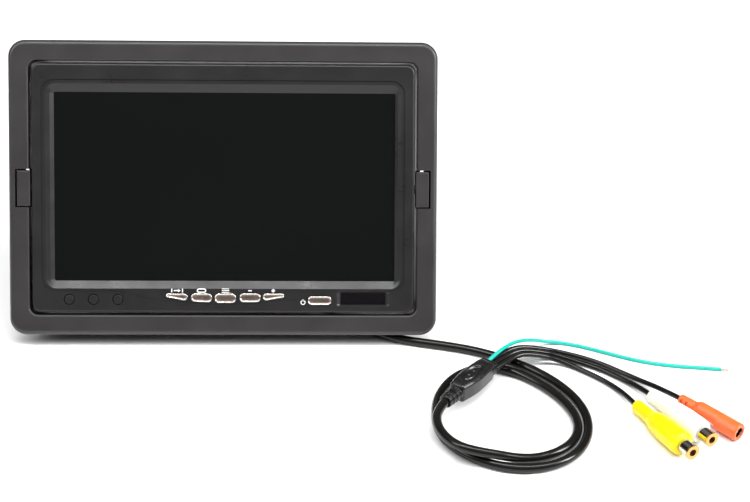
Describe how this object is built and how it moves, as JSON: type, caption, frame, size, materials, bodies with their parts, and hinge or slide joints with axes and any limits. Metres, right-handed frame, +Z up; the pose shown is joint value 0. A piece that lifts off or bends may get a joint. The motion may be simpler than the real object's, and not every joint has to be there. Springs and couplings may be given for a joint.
{
  "type": "flush-mount monitor",
  "caption": "Flush-mount vehicle monitor for a reversing camera, tilting in its black surround, with front buttons and a lead that splits to audio-video and power sockets.",
  "frame": {"origin": "centre of the surround's rear rim", "axes": "+X to the screen's right as its viewer sees it, +Y away from the viewer along the floor its lead lies on, +Z up; the surround leans back 27 degrees, so its rim faces +Y and down"},
  "size_m": [0.4196, 0.2283, 0.1616],
  "materials": {
    "surround_black": "satin moulded ABS",
    "bezel_black": "fine matte moulded ABS",
    "cover_black": "matte moulded ABS",
    "screw_black": "blackened steel",
    "screw_zinc": "zinc-plated steel",
    "screen_glass": "unlit screen, slightly reflective",
    "diffuser_white": "matte",
    "light_guide_clear": "clear acrylic",
    "chassis_steel": "pressed steel",
    "board_green": "solder mask",
    "component_black": "moulded epoxy",
    "plug_white": "nylon",
    "ribbon_amber": "polyimide film",
    "button_chrome": "polished plating",
    "ir_black": "polished infrared-pass plastic",
    "relief_rubber": "satin",
    "cord_black": "glossy PVC jacket",
    "splitter_black": "satin moulded PVC",
    "wire_teal": "glossy PVC insulation",
    "copper_tinned": "tinned copper",
    "boot_yellow": "satin moulded PVC",
    "boot_white": "satin moulded PVC",
    "boot_orange": "satin moulded PVC",
    "nickel": "bright nickel plating",
    "gold": "gold-coloured plating",
    "insulator_white": "nylon"
  },
  "bodies": {
    "surround": {"surround_frame": "surround_black", "pivot_clip_right": "surround_black", "pivot_clip_left": "surround_black", "clip_screws": "screw_black", "lead_flex": "cord_black", "main_lead": "cord_black", "lead_splitter": "splitter_black", "power_lead": "cord_black", "white_lead": "cord_black", "yellow_lead": "cord_black", "trigger_wire": "wire_teal", "trigger_wire_tip": "copper_tinned", "yellow_socket_boot": "boot_yellow", "yellow_socket_shell": "nickel", "yellow_socket_ring": "gold", "yellow_socket_insulator": "insulator_white", "yellow_socket_contact": "nickel", "white_socket_boot": "boot_white", "white_socket_shell": "nickel", "white_socket_ring": "gold", "white_socket_insulator": "insulator_white", "white_socket_contact": "nickel", "power_socket_boot": "boot_orange", "power_socket_barrel": "nickel", "power_socket_pin": "nickel"},
    "monitor": {"front_bezel": "bezel_black", "back_cover": "cover_black", "housing_screws": "screw_black", "lcd_glass": "screen_glass", "lcd_diffuser": "diffuser_white", "light_guide": "light_guide_clear", "backlight_strip": "plug_white", "lcd_chassis": "chassis_steel", "board_standoffs": "cover_black", "main_board": "board_green", "board_components": "component_black", "board_screws": "screw_zinc", "inner_lead_plug": "plug_white", "display_ribbon": "ribbon_amber", "key_board": "board_green", "key_board_screws": "screw_zinc", "key_switches": "component_black", "ir_window": "ir_black", "ir_receiver": "component_black", "blank_plugs": "bezel_black", "lead_strain_relief": "relief_rubber"},
    "source_button": {"source_button": "button_chrome"},
    "flip_button": {"flip_button": "button_chrome"},
    "menu_button": {"menu_button": "button_chrome"},
    "minus_button": {"minus_button": "button_chrome"},
    "plus_button": {"plus_button": "button_chrome"},
    "power_button": {"power_button": "button_chrome"}
  },
  "joints": [
    {"name": "screen_tilt", "type": "hinge", "parent": "surround", "child": "monitor", "pos_m": [0, -0.02851, 0.01453], "axis": [1, 0, 0], "range_deg": [-10, 10], "deforming": ["lead_flex"]},
    {"name": "source_press", "type": "slide", "parent": "monitor", "child": "source_button", "axis": [0, 0.891, -0.454], "range_m": [0, 0.0006], "stiffness_N_per_m": 1500, "springref_m": -0.0002},
    {"name": "flip_press", "type": "slide", "parent": "monitor", "child": "flip_button", "axis": [0, 0.891, -0.454], "range_m": [0, 0.0006], "stiffness_N_per_m": 1500, "springref_m": -0.0002},
    {"name": "menu_press", "type": "slide", "parent": "monitor", "child": "menu_button", "axis": [0, 0.891, -0.454], "range_m": [0, 0.0006], "stiffness_N_per_m": 1500, "springref_m": -0.0002},
    {"name": "minus_press", "type": "slide", "parent": "monitor", "child": "minus_button", "axis": [0, 0.891, -0.454], "range_m": [0, 0.0006], "stiffness_N_per_m": 1500, "springref_m": -0.0002},
    {"name": "plus_press", "type": "slide", "parent": "monitor", "child": "plus_button", "axis": [0, 0.891, -0.454], "range_m": [0, 0.0006], "stiffness_N_per_m": 1500, "springref_m": -0.0002},
    {"name": "power_press", "type": "slide", "parent": "monitor", "child": "power_button", "axis": [0, 0.891, -0.454], "range_m": [0, 0.0006], "stiffness_N_per_m": 1500, "springref_m": -0.0002}
  ]
}
